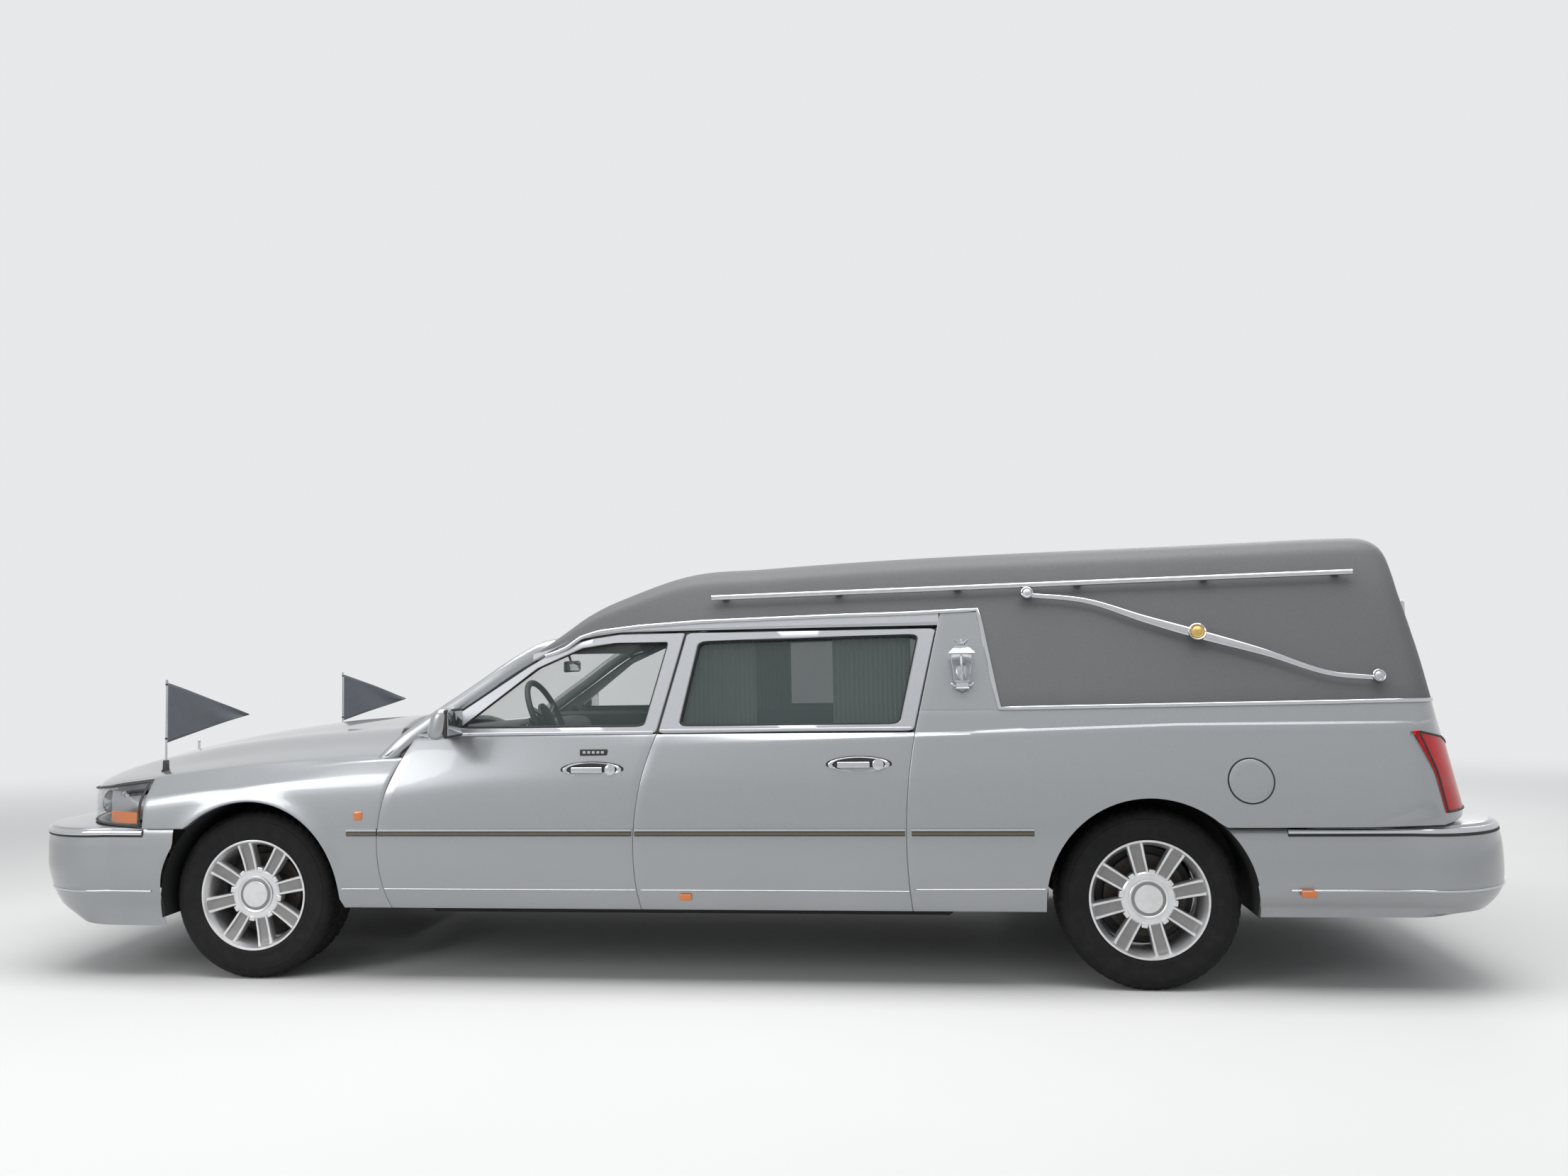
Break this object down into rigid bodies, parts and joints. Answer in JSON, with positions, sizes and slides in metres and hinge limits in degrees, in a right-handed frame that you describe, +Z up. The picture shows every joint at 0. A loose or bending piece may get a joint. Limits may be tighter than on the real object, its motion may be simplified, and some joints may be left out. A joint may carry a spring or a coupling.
{
  "type": "hearse",
  "caption": "Long champagne-coloured hearse with a grey landau roof, chrome landau bars, roof rails, pennants, side doors, a rear loading door and alloy wheels.",
  "frame": {"origin": "on the ground under the middle of the whole car", "axes": "-X towards the front of the car, -Y to its left side, +Z up"},
  "size_m": [6.1636, 2.28, 1.7779],
  "materials": {
    "paint": "metallic champagne",
    "vinyl": "grained landau roof covering",
    "chrome": "polished",
    "glass": "clear",
    "dark_glass": "tinted",
    "red_lens": "clear red",
    "lamp_lens": "clear lens",
    "black_plastic": "textured",
    "trim_cloth": "woven",
    "curtain_cloth": "pleated",
    "pennant_cloth": "matte",
    "tyre": "matte",
    "wheel_alloy": "machined and painted",
    "steel": "black chassis paint",
    "cast": "rough",
    "pipe": "dull",
    "deck": "varnished"
  },
  "bodies": {
    "root": {"fender_left": "paint", "fender_right": "paint", "quarter_left": "paint", "quarter_right": "paint", "roof": "vinyl", "windshield": "glass", "front_bumper": "paint", "rear_bumper": "paint", "grille": "chrome", "headlamps": "lamp_lens", "tail_lamps": "red_lens", "cowl": "black_plastic", "floor_pan": "steel", "engine_bay": "steel", "engine_block": "cast", "chassis_frame": "steel", "front_suspension": "steel", "rear_axle": "cast", "exhaust": "pipe", "fuel_tank": "steel", "dashboard": "black_plastic", "front_seat": "trim_cloth", "casket_deck": "deck", "curtains": "curtain_cloth", "landau_bars": "chrome", "coach_lamps": "chrome", "roof_rails": "chrome"},
    "hood": {"hood": "paint", "flag_poles": "chrome", "pennants": "pennant_cloth"},
    "rear_loading_door": {"rear_loading_door": "paint", "rear_loading_glass": "dark_glass"},
    "fuel_flap": {"fuel_flap": "paint"},
    "steering_wheel": {"steering_wheel": "black_plastic"},
    "front_door_left": {"front_door_left": "paint", "front_glass_left": "glass"},
    "rear_door_left": {"rear_door_left": "paint", "rear_glass_left": "dark_glass"},
    "knuckle_left": {"knuckle_left": "cast"},
    "wheel_front_left": {"tyre_front_left": "tyre", "rim_front_left": "wheel_alloy"},
    "wheel_rear_left": {"tyre_rear_left": "tyre", "rim_rear_left": "wheel_alloy"},
    "front_door_right": {"front_door_right": "paint", "front_glass_right": "glass"},
    "rear_door_right": {"rear_door_right": "paint", "rear_glass_right": "dark_glass"},
    "knuckle_right": {"knuckle_right": "cast"},
    "wheel_front_right": {"tyre_front_right": "tyre", "rim_front_right": "wheel_alloy"},
    "wheel_rear_right": {"tyre_rear_right": "tyre", "rim_rear_right": "wheel_alloy"}
  },
  "joints": [
    {"name": "front_door_left_open", "type": "hinge", "parent": "root", "child": "front_door_left", "pos_m": [-1.357, -0.975, 0.6], "axis": [0, 0, -1], "range_deg": [0, 62]},
    {"name": "rear_door_left_open", "type": "hinge", "parent": "root", "child": "rear_door_left", "pos_m": [-0.286, -0.975, 0.6], "axis": [0, 0, -1], "range_deg": [0, 62]},
    {"name": "steer_left", "type": "hinge", "parent": "root", "child": "knuckle_left", "pos_m": [-2.01, -0.76, 0.35], "axis": [0, 0, 1], "range_deg": [-32, 32]},
    {"name": "wheel_front_left_spin", "type": "hinge", "parent": "knuckle_left", "child": "wheel_front_left", "pos_m": [-2.01, -0.8, 0.35], "axis": [0, 1, 0], "continuous": true},
    {"name": "wheel_rear_left_spin", "type": "hinge", "parent": "root", "child": "wheel_rear_left", "pos_m": [1.673, -0.8, 0.35], "axis": [0, 1, 0], "continuous": true},
    {"name": "front_door_right_open", "type": "hinge", "parent": "root", "child": "front_door_right", "pos_m": [-1.357, 0.975, 0.6], "axis": [0, 0, 1], "range_deg": [0, 62]},
    {"name": "rear_door_right_open", "type": "hinge", "parent": "root", "child": "rear_door_right", "pos_m": [-0.286, 0.975, 0.6], "axis": [0, 0, 1], "range_deg": [0, 62]},
    {"name": "steer_right", "type": "hinge", "parent": "root", "child": "knuckle_right", "pos_m": [-2.01, 0.76, 0.35], "axis": [0, 0, 1], "range_deg": [-32, 32]},
    {"name": "wheel_front_right_spin", "type": "hinge", "parent": "knuckle_right", "child": "wheel_front_right", "pos_m": [-2.01, 0.8, 0.35], "axis": [0, 1, 0], "continuous": true},
    {"name": "wheel_rear_right_spin", "type": "hinge", "parent": "root", "child": "wheel_rear_right", "pos_m": [1.673, 0.8, 0.35], "axis": [0, 1, 0], "continuous": true},
    {"name": "hood_open", "type": "hinge", "parent": "root", "child": "hood", "pos_m": [-1.35, 0, 1], "axis": [0, 1, 0], "range_deg": [0, 50]},
    {"name": "rear_loading_door_open", "type": "hinge", "parent": "root", "child": "rear_loading_door", "pos_m": [2.93, -0.64, 1.15], "axis": [0, 0, -1], "range_deg": [0, 95]},
    {"name": "fuel_flap_open", "type": "hinge", "parent": "root", "child": "fuel_flap", "pos_m": [1.966, -0.982, 0.815], "axis": [0, 0, -1], "range_deg": [0, 80]},
    {"name": "steering_wheel_turn", "type": "hinge", "parent": "root", "child": "steering_wheel", "pos_m": [-0.898, -0.37, 1.052], "axis": [0.9135, 0, 0.4067], "range_deg": [-480, 480]}
  ],
  "couplings": [
    {"joint": "steer_right", "follows": "steer_left", "ratio": 1},
    {"joint": "steering_wheel_turn", "follows": "steer_left", "ratio": 14}
  ]
}
